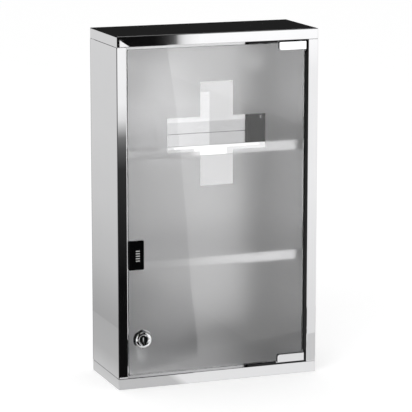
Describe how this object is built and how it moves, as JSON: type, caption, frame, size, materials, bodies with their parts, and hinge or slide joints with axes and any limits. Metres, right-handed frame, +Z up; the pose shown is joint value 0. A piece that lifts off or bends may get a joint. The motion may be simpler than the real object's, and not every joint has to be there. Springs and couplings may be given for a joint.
{
  "type": "glass door medicine cabinet",
  "caption": "Wall-hung polished steel medicine cabinet with a frosted glass door, clear cross, cam lock, push catch and fixed shelves.",
  "frame": {"origin": "centre of the base's underside", "axes": "+Z up along the cabinet's height, +Y to the wall behind it, -Y out through the door, +X to the hinge side"},
  "size_m": [0.3, 0.1218, 0.5],
  "materials": {
    "polished_steel": "mirror-polished stainless sheet",
    "bright_steel": "bright drawn steel",
    "spring_steel": "dull plated steel",
    "chrome": "bright chrome plate",
    "clear_glass": "clear float glass with ground edges",
    "frosting": "satin frosting",
    "grey_rubber": "soft grey liner",
    "black_plastic": "moulded black, satin",
    "white_plastic": "natural nylon",
    "magnet_grey": "sintered magnet"
  },
  "bodies": {
    "cabinet": {"top_cap": "polished_steel", "base_tray": "polished_steel", "left_side_panel": "polished_steel", "right_side_panel": "polished_steel", "back_panel": "polished_steel", "upper_shelf": "polished_steel", "lower_shelf": "polished_steel", "upper_left_rail": "bright_steel", "upper_right_rail": "bright_steel", "lower_left_rail": "bright_steel", "lower_right_rail": "bright_steel", "upper_hinge_bush": "white_plastic", "lower_hinge_bush": "white_plastic", "catch_housing": "black_plastic", "catch_spring": "spring_steel", "catch_screw_left": "spring_steel", "catch_screw_right": "spring_steel"},
    "door": {"door_glass": "clear_glass", "frost_layer": "frosting", "upper_hinge_clamp": "chrome", "upper_hinge_liner": "grey_rubber", "upper_hinge_pin": "bright_steel", "upper_grub_screw_left": "spring_steel", "upper_grub_screw_right": "spring_steel", "lower_hinge_clamp": "chrome", "lower_hinge_liner": "grey_rubber", "lower_hinge_pin": "bright_steel", "lower_grub_screw_left": "spring_steel", "lower_grub_screw_right": "spring_steel", "push_clip": "black_plastic", "strike_plate": "bright_steel", "lock_barrel": "chrome", "lock_gasket": "black_plastic", "lock_nut": "bright_steel"},
    "lock_core": {"lock_plug": "chrome", "lock_cam": "bright_steel", "lock_cam_screw": "spring_steel"},
    "plunger": {"catch_plunger": "white_plastic", "catch_magnet": "magnet_grey"}
  },
  "joints": [
    {"name": "door_swing", "type": "hinge", "parent": "cabinet", "child": "door", "pos_m": [0.124, -0.05475, 0.2505], "axis": [0, 0, 1], "range_deg": [0, 110]},
    {"name": "lock_turn", "type": "hinge", "parent": "door", "child": "lock_core", "pos_m": [-0.113, -0.055, 0.07], "axis": [0, 1, 0], "range_deg": [0, 90]},
    {"name": "catch_press", "type": "slide", "parent": "cabinet", "child": "plunger", "axis": [0, 1, 0], "range_m": [0, 0.003], "stiffness_N_per_m": 400, "deforming": ["catch_spring"]}
  ]
}
